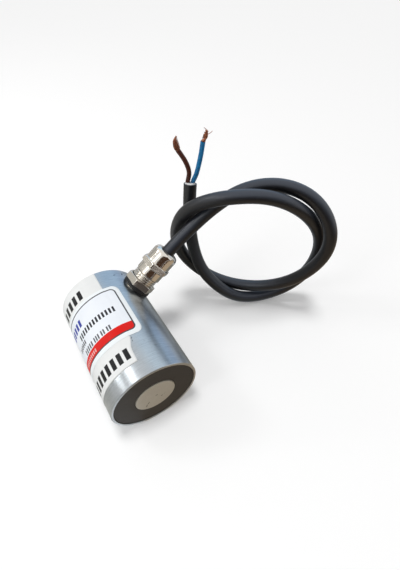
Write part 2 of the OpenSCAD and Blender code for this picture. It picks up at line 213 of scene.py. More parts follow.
class Graph:
    """A node tree that is filled by calls, each of which returns the channel it made."""

    def __init__(self, owner):
        owner.use_nodes = True
        self.tree = owner.node_tree
        self.tree.nodes.clear()

    def node(self, kind, settings=None, sockets=None, result=0):
        """Adds a node. Its settings come first, then the values or links of its sockets. The
        tree's own output node gives nothing back."""
        made = self.tree.nodes.new(kind)
        for name, value in (settings or {}).items():
            setattr(made, name, value)
        for name, value in (sockets or {}).items():
            if isinstance(value, Channel):
                self.tree.links.new(value.socket, made.inputs[name])
            else:
                made.inputs[name].default_value = value
        return Channel(self, made.outputs[result]) if made.outputs else None

    def maths(self, operation, *values):
        """One sum with channels and numbers."""
        return self.node("ShaderNodeMath", {"operation": operation}, dict(enumerate(values)))

    def mix(self, factor, first, second):
        """Mixes two colours, which may be written as three numbers."""
        sockets = {0: factor, 6: colour_of(first), 7: colour_of(second)}
        return self.node("ShaderNodeMix", {"data_type": "RGBA"}, sockets, 2)

    def vector(self, x, y, z):
        """A place made of three channels or numbers."""
        return self.node("ShaderNodeCombineXYZ", None, {0: x, 1: y, 2: z})

    def parts(self, vector):
        """The x, y and z of a place."""
        made = self.node("ShaderNodeSeparateXYZ", None, {0: vector}).socket.node
        return [Channel(self, made.outputs[i]) for i in range(3)]

    def facing(self):
        """Which way the surface faces."""
        return self.node("ShaderNodeNewGeometry", result="Normal")

    def dot(self, vector, way):
        """How far a direction agrees with a fixed way."""
        settings = {"operation": "DOT_PRODUCT"}
        return self.node("ShaderNodeVectorMath", settings, {0: vector, 1: way}, "Value")

    def noise(self, vector, scale=1.0, detail=3.0, roughness=0.55):
        """Soft clouds between 0 and 1; with a scale of 1 they are a millimetre apart."""
        sockets = {"Vector": vector, "Scale": scale, "Detail": detail, "Roughness": roughness}
        return self.node("ShaderNodeTexNoise", None, sockets)

    def blobs(self, vector, scale):
        """The distance from the nearest of many scattered spots."""
        sockets = {"Vector": vector, "Scale": scale}
        return self.node("ShaderNodeTexVoronoi", None, sockets, "Distance")

    def ease(self, value, low, high):
        """0 below low, 1 above high, and smooth between them; low may be the larger."""
        settings = {"interpolation_type": "SMOOTHSTEP"}
        return self.node("ShaderNodeMapRange", settings, {0: value, 1: low, 2: high})

    def smaller(self, first, second):
        """The smaller of two channels or numbers."""
        return self.maths("MINIMUM", first, second)

    def larger(self, first, second):
        """The larger of two channels or numbers."""
        return self.maths("MAXIMUM", first, second)

    def millimetres(self):
        """Where a point is on the object, in millimetres, in the CAD model's frame."""
        place = self.node("ShaderNodeTexCoord", result="Object")
        sockets = {0: place, "Scale": 1 / MM}
        return self.node("ShaderNodeVectorMath", {"operation": "SCALE"}, sockets)


def colour_of(value):
    """A colour as a socket takes it."""
    return value if isinstance(value, Channel) else (*value, 1.0)


class Finish(Graph):
    """A surface finish: one Principled shader and what feeds it."""

    def __init__(self, name, metallic, specular=0.5):
        self.material = bpy.data.materials.new(name)
        super().__init__(self.material)
        self.all_over = {"Metallic": metallic, "Specular IOR Level": specular}
        self.place = self.millimetres()

    def surface(self, colour, roughness, height, depth):
        """Feeds the shader; depth is how deep the relief in height is, in millimetres."""
        relief = {"Height": height, "Distance": depth * MM, "Strength": 1.0}
        sockets = {
            **self.all_over, "Base Color": colour, "Roughness": roughness,
            "Normal": self.node("ShaderNodeBump", None, relief),
        }
        shader = self.node("ShaderNodeBsdfPrincipled", None, sockets)
        self.node("ShaderNodeOutputMaterial", None, {0: shader})
        return self.material


# ---- finishes ----


def round_tube(graph):
    """Arc length round the tube from +X, and distance from the rear face, in millimetres."""
    x, y, z = graph.parts(graph.place)
    return graph.maths("ARCTAN2", z, x) * TUBE_R, -y


def flecks(graph, across, along, marks):
    """1 on each short dark mark, given as (across, along, turn, half length, half width)."""
    found = 0.0
    for mark_across, mark_along, turn, half_length, half_width in marks:
        u = across - mark_across
        v = along - mark_along
        lengthwise = abs(u * math.cos(turn) + v * math.sin(turn)) / half_length
        sideways = abs(v * math.cos(turn) - u * math.sin(turn)) / half_width
        found = graph.larger(found, graph.ease(lengthwise ** 2 + sideways ** 2, 1.2, 0.5))
    return found


def turned_zinc():
    """Zinc plate over fine turning marks that run round the tube."""
    g = Finish("turned_zinc", metallic=1.0)
    x, y, z = g.parts(g.place)
    round_it, along = round_tube(g)
    lines = g.noise(g.vector(x * 0.12, y * 2.6, z * 0.12), 1.0, 6.0, 0.8)
    bands = g.noise(g.vector(x * 0.06, y * 0.9, z * 0.06), 1.0, 2.0)
    clouds = g.noise(g.place, 0.09, 3.0)
    wear = g.ease(g.noise(g.place, 0.35, 4.0, 0.7), 0.62, 0.74)
    metal = g.mix(clouds, (0.33, 0.36, 0.39), (0.44, 0.47, 0.49))
    metal = g.mix(g.ease(lines, 0.38, 0.68) * 0.6, metal, (0.60, 0.63, 0.65))
    metal = g.mix(wear * 0.25, metal, (0.26, 0.28, 0.29))
    marks = flecks(g, round_it, along, [
        (28.3, 5.9, 0.3, 1.0, 0.36), (22.4, 4.7, 1.1, 1.3, 0.42), (20.0, 3.0, 1.0, 0.7, 0.3),
        (39.0, 54.8, 0.9, 0.9, 0.22), (39.2, 56.6, 1.5, 0.7, 0.18), (12.4, 61.0, 0.3, 0.8, 0.12),
    ])
    metal = g.mix(marks * 0.85, metal, (0.05, 0.055, 0.07))
    roughness = 0.19 + lines * 0.14 + bands * 0.08 + wear * 0.1
    return g.surface(metal, roughness, lines + bands * 0.6, 0.012)


def faced_zinc():
    """Zinc plate over the rings that facing leaves on a flat end."""
    g = Finish("faced_zinc", metallic=1.0)
    x, _, z = g.parts(g.place)
    radius = g.maths("SQRT", x * x + z * z)
    rings = g.noise(g.vector(radius * 4.0, x * 0.05, z * 0.05), 1.0, 3.0, 0.7)
    clouds = g.noise(g.place, 0.12, 3.0)
    metal = g.mix(clouds, (0.52, 0.60, 0.69), (0.70, 0.78, 0.86))
    metal = g.mix(rings * 0.4, metal, (0.74, 0.77, 0.80))
    return g.surface(metal, 0.28 + rings * 0.2, rings, 0.008)


def ground_iron():
    """Bare soft iron, ground flat and dulled, with a few knocks."""
    g = Finish("ground_iron", metallic=0.55)
    x, y, z = g.parts(g.place)
    grain = g.noise(g.vector(x * 0.5, y, z * 3.5), 1.0, 5.0, 0.75)
    stain = g.noise(g.place, 0.22, 4.0, 0.6)
    metal = g.mix(stain, (0.37, 0.345, 0.29), (0.50, 0.475, 0.41))
    metal = g.mix(grain * 0.3, metal, (0.60, 0.58, 0.52))
    knocks = flecks(g, x, z, [
        (0.5, 0.1, 0.15, 0.8, 0.34), (3.3, -3.4, 0.5, 0.7, 0.36), (5.0, -2.6, 0.3, 0.5, 0.2),
        (-4.7, -4.0, 0.85, 1.4, 0.28), (-6.0, -6.0, 1.3, 1.3, 0.3),
    ])
    metal = g.mix(knocks * 0.9, metal, (0.06, 0.052, 0.042))
    return g.surface(metal, 0.42 + stain * 0.15, grain - knocks * 1.5, 0.01)


def potting_resin():
    """Dull filled resin with faint swirls and a few pin holes."""
    g = Finish("potting_resin", metallic=0.0, specular=0.3)
    swirl = g.noise(g.place, 0.16, 5.0, 0.65)
    grit = g.noise(g.place, 3.2, 3.0, 0.7)
    pins = g.ease(g.blobs(g.place, 0.28), 0.09, 0.05)
    resin = g.mix(swirl, (0.022, 0.019, 0.015), (0.042, 0.036, 0.030))
    resin = g.mix(grit * 0.25, resin, (0.065, 0.058, 0.050))
    resin = g.mix(pins * 0.7, resin, (0.015, 0.013, 0.011))
    return g.surface(resin, 0.5 + grit * 0.2, grit + swirl - pins * 3, 0.02)


def nickel_plate():
    """Bright nickel with the slight waviness and smears of a plated turned part."""
    g = Finish("nickel_plate", metallic=1.0)
    wave = g.noise(g.place, 0.4, 2.0)
    smear = g.noise(g.place, 1.1, 4.0, 0.65)
    metal = g.mix(smear, (0.66, 0.62, 0.555), (0.78, 0.745, 0.69))
    return g.surface(metal, 0.08 + smear * 0.12, wave, 0.015)


def gasket_rubber():
    """Soft black rubber with a faintly uneven skin."""
    g = Finish("gasket_rubber", metallic=0.0)
    skin = g.noise(g.place, 2.6, 3.0, 0.6)
    dust = g.ease(g.noise(g.place, 0.5, 5.0, 0.7), 0.5, 0.8)
    tone = g.mix(skin * 0.6 + dust * 0.4, (0.003, 0.003, 0.003), (0.009, 0.009, 0.009))
    return g.surface(tone, 0.42 + skin * 0.12, skin, 0.015)


def cable_sheath():
    """Dark grey cable jacket: painted highlight along its top, a soft sheen, a little dust."""
    g = Finish("cable_sheath", metallic=0.0, specular=0.45)
    skin = g.noise(g.place, 1.4, 4.0, 0.65)
    patch = g.noise(g.place, 0.07, 3.0)
    dust = g.ease(g.noise(g.place, 0.55, 5.0, 0.75), 0.56, 0.8)
    # Painted highlight: the jacket turns paler where it faces up and towards the front, as where
    # light would catch it.
    painted_highlight = g.ease(g.dot(g.facing(), (-0.10, -0.38, 0.92)), 0.5, 1.02)
    tone = g.mix(patch, (0.004, 0.0042, 0.005), (0.008, 0.0084, 0.0104))
    tone = g.mix(painted_highlight * 0.9, tone, (0.041, 0.049, 0.067))
    tone = g.mix(dust * 0.3, tone, (0.07, 0.074, 0.084))
    return g.surface(tone, 0.30 + skin * 0.12 + dust * 0.1, skin, 0.02)


def core_insulation(name, deep, bright):
    """Insulation of one core, rubbed brighter in places."""
    g = Finish(name, metallic=0.0, specular=0.3)
    rub = g.noise(g.place, 0.8, 4.0, 0.6)
    grip = g.noise(g.place, 3.0, 3.0)
    tone = g.mix(g.ease(rub, 0.3, 0.75), deep, bright)
    return g.surface(tone, 0.3 + grip * 0.15, grip, 0.012)


def bare_copper():
    """Copper strands, bright on top and browned in the twist."""
    g = Finish("bare_copper", metallic=1.0)
    tarnish = g.noise(g.place, 1.6, 4.0, 0.7)
    metal = g.mix(g.ease(tarnish, 0.35, 0.7), (0.59, 0.25, 0.15), (0.20, 0.07, 0.04))
    return g.surface(metal, 0.3 + tarnish * 0.2, tarnish, 0.01)


def plain_moulding(name, low, high, roughness):
    """Moulded or wound material inside the magnet."""
    g = Finish(name, metallic=0.0)
    grain = g.noise(g.place, 1.3, 4.0)
    return g.surface(g.mix(grain, low, high), roughness + grain * 0.15, grain, 0.02)


def wound_copper():
    """Enamelled wire, laid in turns along the coil."""
    g = Finish("wound_copper", metallic=0.8)
    _, along, _ = g.parts(g.place)
    turns = g.maths("SINE", along * 12.0)
    grain = g.noise(g.place, 0.8, 3.0)
    copper = g.mix(grain, (0.50, 0.21, 0.10), (0.70, 0.34, 0.18))
    return g.surface(copper, 0.3 + grain * 0.1, turns, 0.05)


class LabelPrint(Finish):
    """A label's film and the plain shapes on it. Places are round the tube and along it."""

    def __init__(self, name):
        super().__init__(name, metallic=0.0, specular=0.18)
        self.round_it, self.along = round_tube(self)

    def depth_in_box(self, near, far, rear, front, corner):
        """Distance outside a rounded box between two angles and two ends, in millimetres, and
        below 0 inside it."""
        half_round = (arc(far) - arc(near)) / 2
        half_along = (front - rear) / 2
        across = abs(self.round_it - (arc(near) + arc(far)) / 2) - (half_round - corner)
        down = abs(self.along - (rear + front) / 2) - (half_along - corner)
        outside_across = self.larger(across, 0.0)
        outside_down = self.larger(down, 0.0)
        outside = self.maths("SQRT", outside_across ** 2 + outside_down ** 2)
        return outside + self.smaller(self.larger(across, down), 0.0) - corner

    def row(self, near, far, rear, front, blocks, fill=0.5):
        """1 on each of a row of plain upright blocks; fill is how much of the row they fill."""
        length = arc(far) - arc(near)
        place = (self.round_it - arc(near)) / length * blocks
        block = abs(self.maths("FRACT", place) - 0.5)
        blur = 2 * INK_BLUR / (length / blocks)
        depth = self.depth_in_box(near, far, rear, front, 0.0)
        return self.ease(block, fill / 2 + blur, fill / 2) * self.ease(depth, INK_BLUR, -INK_BLUR)

    def rows(self, *rows):
        """1 on the blocks of any of several rows."""
        found = 0.0
        for row in rows:
            found = self.larger(found, self.row(*row))
        return found

    def film(self, low, high):
        """The bare film's colour, with a few smudges and specks."""
        smudge = self.noise(self.place, 0.11, 4.0, 0.6)
        specks = self.ease(self.noise(self.place, 1.2, 4.0, 0.7), 0.66, 0.78)
        tone = self.mix(smudge, low, high)
        return self.mix(specks * 0.18, tone, (0.52, 0.51, 0.49))

    def finished(self, colour):
        """The label's material: its print under a thin, slightly rippled film."""
        ripple = self.noise(self.place, 0.5, 3.0)
        return self.surface(colour, 0.36 + ripple * 0.12, ripple, 0.02)


def arc(degrees):
    """Arc length on the tube, in millimetres, for an angle from +X."""
    return math.radians(degrees) * TUBE_R


def lower_label():
    """The lower label: large dark blocks in a row at each end; painted shade at its front edge."""
    g = LabelPrint("lower_label")
    colour = g.film((0.74, 0.755, 0.75), (0.86, 0.87, 0.865))
    # Painted shade: the film darkens over the last 0.9 mm before its front edge.
    painted_edge_shade = g.ease(g.along, LABEL_FRONT - 0.9, LABEL_FRONT)
    colour = g.mix(painted_edge_shade * 0.3, colour, (0.55, 0.54, 0.51))
    ink = g.rows((115.6, 168, 6.6, 13.4, 5, 0.58), (98.2, 176, 58.8, 65.4, 8, 0.58))
    return g.finished(g.mix(ink, colour, (0.010, 0.010, 0.012)))


def upper_label():
    """The upper label: a dark frame line round rows of blocks, and a red field at its front."""
    g = LabelPrint("upper_label")
    frame_depth = g.depth_in_box(*PRINTED_FRAME)
    colour = g.film((0.80, 0.84, 0.90), (0.88, 0.91, 0.95))
    margin = g.ease(frame_depth, -0.05, 0.1)
    colour = g.mix(margin, colour, (0.86, 0.90, 0.92))
    red = g.ease(g.along, RED_FIELD_START, RED_FIELD_START + 0.2)
    red = red * g.ease(frame_depth, -0.5, -0.62)
    colour = g.mix(red, colour, (0.70, 0.008, 0.004))
    blue = g.rows((136, 172, 22.6, 27.6, 5, 0.6))
    colour = g.mix(blue, colour, (0.03, 0.05, 0.36))
    ink = g.rows((88.4, 152, 30.4, 34.3, 13), (143, 165, 35.4, 38.3, 6))
    groups = [(103.4, 110.4, 2), (112.2, 119.2, 2), (121, 131.5, 3), (133.4, 154, 5)]
    numbers = g.rows(*[(near, far, 40.5, 43.9, blocks) for near, far, blocks in groups])
    colour = g.mix(g.larger(ink, numbers * 0.9), colour, (0.022, 0.022, 0.030))
    pale = g.rows((133, 166, 46.1, 48.3, 9))
    colour = g.mix(pale * 0.6, colour, (0.85, 0.72, 0.70))
    outline = g.ease(abs(frame_depth + 0.36), 0.46, 0.34)
    return g.finished(g.mix(outline * 0.95, colour, (0.02, 0.02, 0.025)))


# ---- meshes ----


def full_turn(steps):
    """Even angles round a full turn."""
    return [2 * math.pi * step / steps for step in range(steps)]


def polar(radius, angle, height):
    """The point at a radius, an angle and a height about local Z."""
    return radius * math.cos(angle), radius * math.sin(angle), height


def grid(rows, columns, close_rows=False, close_columns=True):
    """Faces of a grid of points given row by row."""
    last_row = rows if close_rows else rows - 1
    last_column = columns if close_columns else columns - 1
    return [
        (
            row * columns + column,
            row * columns + (column + 1) % columns,
            (row + 1) % rows * columns + (column + 1) % columns,
            (row + 1) % rows * columns + column,
        )
        for row in range(last_row)
        for column in range(last_column)
    ]


def shell(parts):
    """Joins (points, faces) pairs into one pair."""
    points, faces = [], []
    for part_points, part_faces in parts:
        start = len(points)
        points += part_points
        faces += [tuple(start + index for index in face) for face in part_faces]
    return points, faces


def in_scene(name, data):
    """Adds an object with a mesh, lamp or camera to the scene."""
    made = bpy.data.objects.new(name, data)
    bpy.context.scene.collection.objects.link(made)
    return made


def mesh_of(name, points, faces, material):
    """A mesh in one material, from points in metres."""
    mesh = bpy.data.meshes.new(name)
    mesh.from_pydata(points, [], faces)
    mesh.materials.append(material)
    return mesh


def piece(name, shape, finish, nodes, place=None, crisp=True):
    """Makes a piece of the object from points in millimetres, in place of its CAD nodes."""
    points, faces = shape
    place = place or Matrix.Identity(4)
    mesh = mesh_of(name, [(place @ Vector(point)) * MM for point in points], faces, finish)
    work = bmesh.new()
    work.from_mesh(mesh)
    bmesh.ops.remove_doubles(work, verts=work.verts, dist=1e-7)
    bmesh.ops.recalc_face_normals(work, faces=work.faces)
    work.to_mesh(mesh)
    work.free()
    for polygon in mesh.polygons:
        polygon.use_smooth = True
    made = in_scene(name, mesh)
    if crisp:
        made.modifiers.new("even_normals", "WEIGHTED_NORMAL").weight = 90
    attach(made, "root")
    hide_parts(*nodes)
    return made


def eased_corners(profile, radii, closed=True):
    """Rounds the corners of a profile of (radius, height) points, each by its own radius."""
    steps, longest_share = 4, 0.45
    count = len(profile)
    result = []
    for index, corner in enumerate(profile):
        if radii[index] == 0 or (not closed and index in (0, count - 1)):
            result.append(corner)
            continue
        here = Vector(corner)
        back = Vector(profile[index - 1]) - here
        ahead = Vector(profile[(index + 1) % count]) - here
        reach = min(radii[index], back.length * longest_share, ahead.length * longest_share)
        start = here + back.normalized() * reach
        end = here + ahead.normalized() * reach
        for step in range(steps + 1):
            t = step / steps
            result.append(tuple(start * (1 - t) ** 2 + here * 2 * t * (1 - t) + end * t * t))
    return result


def turned(profile, around=160, closed=True):
    """Turns a profile of (radius, height) points about local Z."""
    angles = full_turn(around)
    points = [polar(radius, angle, height) for radius, height in profile for angle in angles]
    return points, grid(len(profile), around, closed)


def spline(route, per_span):
    """The points of the smooth curve that the CAD model draws from a route."""
    q = [Vector(point) for point in route]
    q = [q[0] * 2 - q[1], *q, q[-1] * 2 - q[-2]]
    line = []
    for span in range(len(q) - 3):
        a, b, c, d = q[span:span + 4]
        for step in range(per_span):
            t = step / per_span
            line.append((
                a * (1 - t) ** 3 + b * (3 * t ** 3 - 6 * t * t + 4)
                + c * (-3 * t ** 3 + 3 * t * t + 3 * t + 1) + d * t ** 3
            ) / 6)
    line.append(Vector(route[-1]))
    return line


def frames_along(line):
    """For each point of a line, two directions square to it that don't spin."""
    result = []
    side = Vector((0, 1, 0))
    for index in range(len(line)):
        ahead = line[min(index + 1, len(line) - 1)]
        behind = line[max(index - 1, 0)]
        way = (ahead - behind).normalized()
        side = (side - way * side.dot(way)).normalized()
        result.append((side.copy(), way.cross(side)))
    return result


def hose(line, radius, sides, ends):
    """A tube along a line. radius is a number or a function of (distance share, angle).
    ends are profiles of (share of the radius, distance beyond the end) that close it."""
    frames = frames_along(line)
    first_way = (line[1] - line[0]).normalized()
    last_way = (line[-1] - line[-2]).normalized()
    rings = []
    for share, beyond in reversed(ends[0]):
        rings.append((line[0] - first_way * beyond, frames[0], share, 0.0))
    for index, point in enumerate(line):
        rings.append((point, frames[index], 1.0, index / (len(line) - 1)))
    for share, beyond in ends[1]:
        rings.append((line[-1] + last_way * beyond, frames[-1], share, 1.0))
    points = []
    for centre, (u, v), share, far in rings:
        for angle in full_turn(sides):
            size = radius(far, angle) if callable(radius) else radius
            out = u * math.cos(angle) + v * math.sin(angle)
            points.append(tuple(centre + out * size * share))
    return points, grid(len(rings), sides)


def soft_least(first, second, blend):
    """The smaller of two sizes, with the edge between them rounded."""
    low = min(first, second)
    return low - blend * math.log(1 + math.exp(-abs(first - second) / blend))


def hexagon_angles(turn, per_side):
    """Angles round a hexagon, closer together near its corners."""
    angles = []
    for corner in range(6):
        for step in range(per_side):
            share = (1 - math.cos(math.pi * step / per_side)) / 2
            angles.append(math.radians(turn + 60 * (corner + share)))
    return angles


def hexagon(start, height, flats, turn, bore, bevels=(True, True)):
    """A hexagon of a nut: corners turned off by a cone, every edge slightly rounded. bevels
    says whether its lower and its upper corners are turned off."""
    edge_r, blend, corner_cut, per_side = 0.16, 0.05, 0.1, 22
    bevel_share, bevel_slope = 0.95, 0.38
    corner_r = flats / 2 / math.cos(math.radians(30))
    bevel = (corner_r - flats / 2) * bevel_share
    lift = bevel * bevel_slope
    steps = [0, 0.03, 0.08, 0.16, 0.26, 0.4, 0.55, 0.7, 0.85, 1.1]
    levels = steps + [height - step for step in reversed(steps)]
    angles = hexagon_angles(turn, per_side)
    points = []

    def add_row(level, size_at):
        """Adds the points of one level."""
        points.extend(polar(size_at(level, angle), angle, start + level) for angle in angles)

    def wall(level, angle):
        """The hexagon's own size at a height and an angle."""
        into = (math.degrees(angle) - turn) % 60
        flat_r = flats / 2 / math.cos(math.radians(into - 30))
        size = soft_least(flat_r, corner_r - corner_cut, blend)
        for near, used in ((level, bevels[0]), (height - level, bevels[1])):
            if used:
                size = soft_least(size, corner_r - bevel + near / lift * bevel, blend)
        near = min(level, height - level)
        return size - (edge_r - math.sqrt(max(edge_r ** 2 - max(edge_r - near, 0) ** 2, 0)))

    add_row(0, lambda level, angle: bore)
    for level in levels:
        add_row(level, wall)
    add_row(height, lambda level, angle: bore)
    return points, grid(len(levels) + 2, len(angles), True)


def eased_share(value):
    """A share held between 0 and 1, that starts and ends softly."""
    share = min(max(value, 0), 1)
    return share * share * (3 - 2 * share)


def screw_thread(radius, depth, pitch, start, end, inside=False, around=72):
    """The wall of a screw thread, a real helix that fades out at both ends."""
    per_pitch, fade_turns = 14, 0.6
    root_share, flank_share = 0.1, 0.3
    rows = int((end - start) / pitch * per_pitch)
    fade_length = fade_turns * pitch
    points = []
    for row in range(rows + 1):
        level = start + (end - start) * row / rows
        fade = max(min(1.0, (level - start) / fade_length, (end - level) / fade_length), 0)
        for step, angle in enumerate(full_turn(around)):
            phase = (level / pitch - step / around) % 1
            ridge = eased_share((0.5 - abs(phase - 0.5) - root_share) / flank_share)
            cut_in = (1 - ridge) * depth * fade
            size = radius + cut_in if inside else radius - cut_in
            points.append(polar(size, angle, level))
    return points, grid(rows + 1, around)


def wrapped_sheet(rows, rise):
    """A film on the tube. rows are (distance from the rear face, near angle, far angle), and
    rise is how much further off the tube the film is at an angle in degrees."""
    across = 80
    points = []
    for side in (FILM_HIGH, FILM_LOW):
        for along, near, far in rows:
            for step in range(across):
                angle = math.radians(near + (far - near) * step / (across - 1))
                radius = TUBE_R + side + rise(math.degrees(angle))
                points.append(polar(radius, angle, along))
    count = len(rows)
    top = grid(count, across, False, False)
    bottom = [tuple(count * across + index for index in reversed(face)) for face in top]
    edge = [row * across for row in range(count)]
    edge += [(count - 1) * across + step for step in range(1, across)]
    edge += [row * across + across - 1 for row in range(count - 2, -1, -1)]
    edge += list(range(across - 2, 0, -1))
    rim = []
    for index, here in enumerate(edge):
        ahead = edge[(index + 1) % len(edge)]
        rim.append((here, ahead, ahead + count * across, here + count * across))
    return points, top + bottom + rim


# ---- camera, light and floor ----

# What the lamps aim at, where the camera stands, and the way it looks
AIM = Vector((0.02, -0.03, 0.02))
EYE = Vector((-0.0225, -0.1588, 0.1772))
EYE_WAY = Vector((0.3526, 0.5687, -0.7431))
# How bright the room's walls are for dull surfaces, where white is 1
ROOM_LEVEL = 0.46
# The floor's paint, and the light that brings it up to white for the eye. It lies just under the
# object, so that no face lies in another, and the level cards lie just over it
FLOOR_PAINT = 0.87
FLOOR_GLOW = 0.14
FLOOR_LEVEL = FLOOR_Z * MM - 0.0001
CARD_LEVEL = FLOOR_Z * MM + 0.001


def set_camera():
    """Stands the camera close to the magnet, looking down on it."""
    data = bpy.data.cameras.new("camera")
    data.sensor_fit = "AUTO"
    data.sensor_width = 36.0
    data.lens = 22.06
    data.clip_start = 0.005
    data.clip_end = 20.0
    camera = in_scene("camera", data)
    camera.location = EYE
    camera.rotation_euler = EYE_WAY.to_track_quat("-Z", "Y").to_euler()
    bpy.context.scene.camera = camera


def pale_ray(graph):
    """1 for the rays that should see the pale backdrop: from the eye and off or through a gloss."""
    made = graph.node("ShaderNodeLightPath").socket.node
    seen = [Channel(graph, made.outputs[name]) for name in
            ("Is Camera Ray", "Is Glossy Ray", "Is Transmission Ray")]
    return graph.larger(graph.larger(seen[0], seen[1]), seen[2])


def ceiling_lamp(name, way, spread, strength):
    """A broad ceiling light, even all over the floor, that no polished face shows."""
    lamp = bpy.data.lights.new(name, "SUN")
    lamp.angle = spread
    lamp.energy = strength
    made = in_scene(name, lamp)
    made.visible_glossy = False
    made.rotation_euler = Vector(way).to_track_quat("Z", "Y").to_euler()


def window_lamp(name, way, distance, size, watts):
    """A soft rectangular lamp that looks at the magnet from a direction."""
    lamp = bpy.data.lights.new(name, "AREA")
    lamp.shape = "RECTANGLE"
    lamp.size, lamp.size_y = size
    lamp.energy = watts
    made = in_scene(name, lamp)
    made.location = AIM + Vector(way).normalized() * distance
    made.rotation_euler = (AIM - made.location).to_track_quat("-Z", "Y").to_euler()


# Name, direction, distance, size and watts
WINDOWS = [
    ("window_left", (-0.70, -0.08, 0.70), 0.7, (0.14, 0.30), 0.45),
    ("window_back", (-0.54, 0.49, 0.71), 0.7, (0.12, 0.14), 0.5),
    ("window_far", (-0.82, 0.48, 0.31), 0.8, (0.08, 0.12), 0.35),
]

# Name, centre, size, colour, and whether it lies level
CARDS = [
    ("sky_low", (0.62, 0.36, 0.12), (0.90, 0.24), (0.50, 0.66, 0.90), False),
    ("sky_middle", (0.56, 0.38, 0.36), (0.80, 0.26), (0.72, 0.96, 1.22), False),
    ("sky_back", (0.20, 0.48, 0.40), (0.36, 0.26), (0.56, 0.79, 1.07), False),
    ("sky_high", (0.34, 0.36, 0.62), (0.60, 0.26), (1.04, 1.20, 1.32), False),
    ("wall_left", (-0.86, 0.58, 0.40), (1.20, 0.80), (0.62, 0.61, 0.58), False),
    ("wall_back", (-0.05, 0.95, 0.20), (0.90, 0.50), (0.45, 0.45, 0.44), False),
    ("room_front", (-0.12, -0.60, 0.22), (1.10, 0.50), (0.070, 0.042, 0.028), False),
    ("desk_front", (0.05, -0.41, CARD_LEVEL), (0.80, 0.38), (0.11, 0.070, 0.048), True),
    ("desk_near", (0.16, -0.14, CARD_LEVEL), (0.34, 0.17), (0.50, 0.40, 0.29), True),
    ("desk_right", (0.045, 0.025, CARD_LEVEL), (0.05, 0.16), (0.22, 0.22, 0.20), True),
    ("desk_far", (0.335, 0.125, CARD_LEVEL), (0.53, 0.36), (0.50, 0.53, 0.56), True),
    ("desk_left", (-0.19, 0.0, CARD_LEVEL), (0.32, 0.40), (0.66, 0.645, 0.595), True),
    ("desk_back", (-0.02, 0.30, CARD_LEVEL), (0.30, 0.36), (0.42, 0.41, 0.39), True),
]

CORNERS = ((-1, -1), (1, -1), (1, 1), (-1, 1))


def card(name, centre, size, colour, level):
    """A plain coloured card beside the set, seen only in glossy surfaces."""
    material = bpy.data.materials.new(name)
    g = Graph(material)
    glow = g.node("ShaderNodeEmission", None, {"Color": (*colour, 1), "Strength": 1.0})
    g.node("ShaderNodeOutputMaterial", None, {0: glow})
    centre = Vector(centre)
    facing = Vector((0, 0, 1)) if level else (AIM - centre).normalized()
    across = facing.cross(Vector((0, 1, 0)) if level else Vector((0, 0, 1))).normalized()
    up = across.cross(facing)
    points = [centre + across * size[0] * a / 2 + up * size[1] * b / 2 for a, b in CORNERS]
    made = in_scene(name, mesh_of(name, points, [(0, 1, 2, 3)], material))
    for use in ("camera", "diffuse", "shadow", "transmission"):
        setattr(made, "visible_" + use, False)


def light_studio():
    """An even white room, a ceiling light, window lamps at the upper left, and cards for the
    metal to show."""
    world = bpy.data.worlds.new("room")
    bpy.context.scene.world = world
    g = Graph(world)
    strength = ROOM_LEVEL + pale_ray(g) * (1 - ROOM_LEVEL)
    room = g.node("ShaderNodeBackground", None, {"Color": (1, 1, 1, 1), "Strength": strength})
    g.node("ShaderNodeOutputWorld", None, {0: room})
    for window in WINDOWS:
        window_lamp(*window)
    ceiling_lamp("ceiling", (-0.02, 0.07, 1.0), 0.26, 1.32)
    for sheet in CARDS:
        card(*sheet)


def lay_floor():
    """A plain pale floor that keeps the object's shadow."""
    material = bpy.data.materials.new("pale_floor")
    g = Graph(material)
    paint = g.node("ShaderNodeBsdfDiffuse", None, {"Color": (*[FLOOR_PAINT] * 3, 1)})
    strength = pale_ray(g) * FLOOR_GLOW
    glow = g.node("ShaderNodeEmission", None, {"Color": (1, 1, 1, 1), "Strength": strength})
    both = g.node("ShaderNodeAddShader", None, {0: paint, 1: glow})
    g.node("ShaderNodeOutputMaterial", None, {0: both})
    half = 4.0
    points = [(half * a, half * b, FLOOR_LEVEL) for a, b in CORNERS]
    floor = in_scene("floor", mesh_of("floor", points, [(0, 1, 2, 3)], material))


# ---- the cable and its cores ----


def cable_radius(far, angle):
    """The jacket isn't quite round or even."""
    return CABLE_R * (1 + 0.006 * math.sin(far * 37.0) + 0.008 * math.cos(2 * angle + far * 9.0))


# How a hose starts flat, with its middle closed
FLAT_START = ((0.02, 0.0),)


def lay_cable():
    """The jacket on its route, with its sawn end, and the line that it follows."""
    line = spline(CABLE_ROUTE, 16)
    wall = 1 - JACKET_WALL / CABLE_R
    cut_end = (
        (0.995, 0.06), (0.97, 0.12), (wall + 0.03, 0.12), (wall, 0.05), (wall * 0.98, -0.5),
        (0.02, -0.5),
    )
    jacket = piece(
        "cable_sheath", hose(line, cable_radius, 36, (FLAT_START, cut_end)),
        cable_sheath(), ["cable_jacket"],
    )
    return jacket, line


def cable_end():
    """Where the cable ends, the way it goes, and the way from the brown core to the blue."""
    line = spline(CABLE_ROUTE, 2)
    way = (line[-1] - line[-2]).normalized()
    side = Vector((0.5, 0.8, 0)).cross(way).normalized()
    return line[-1], way, side


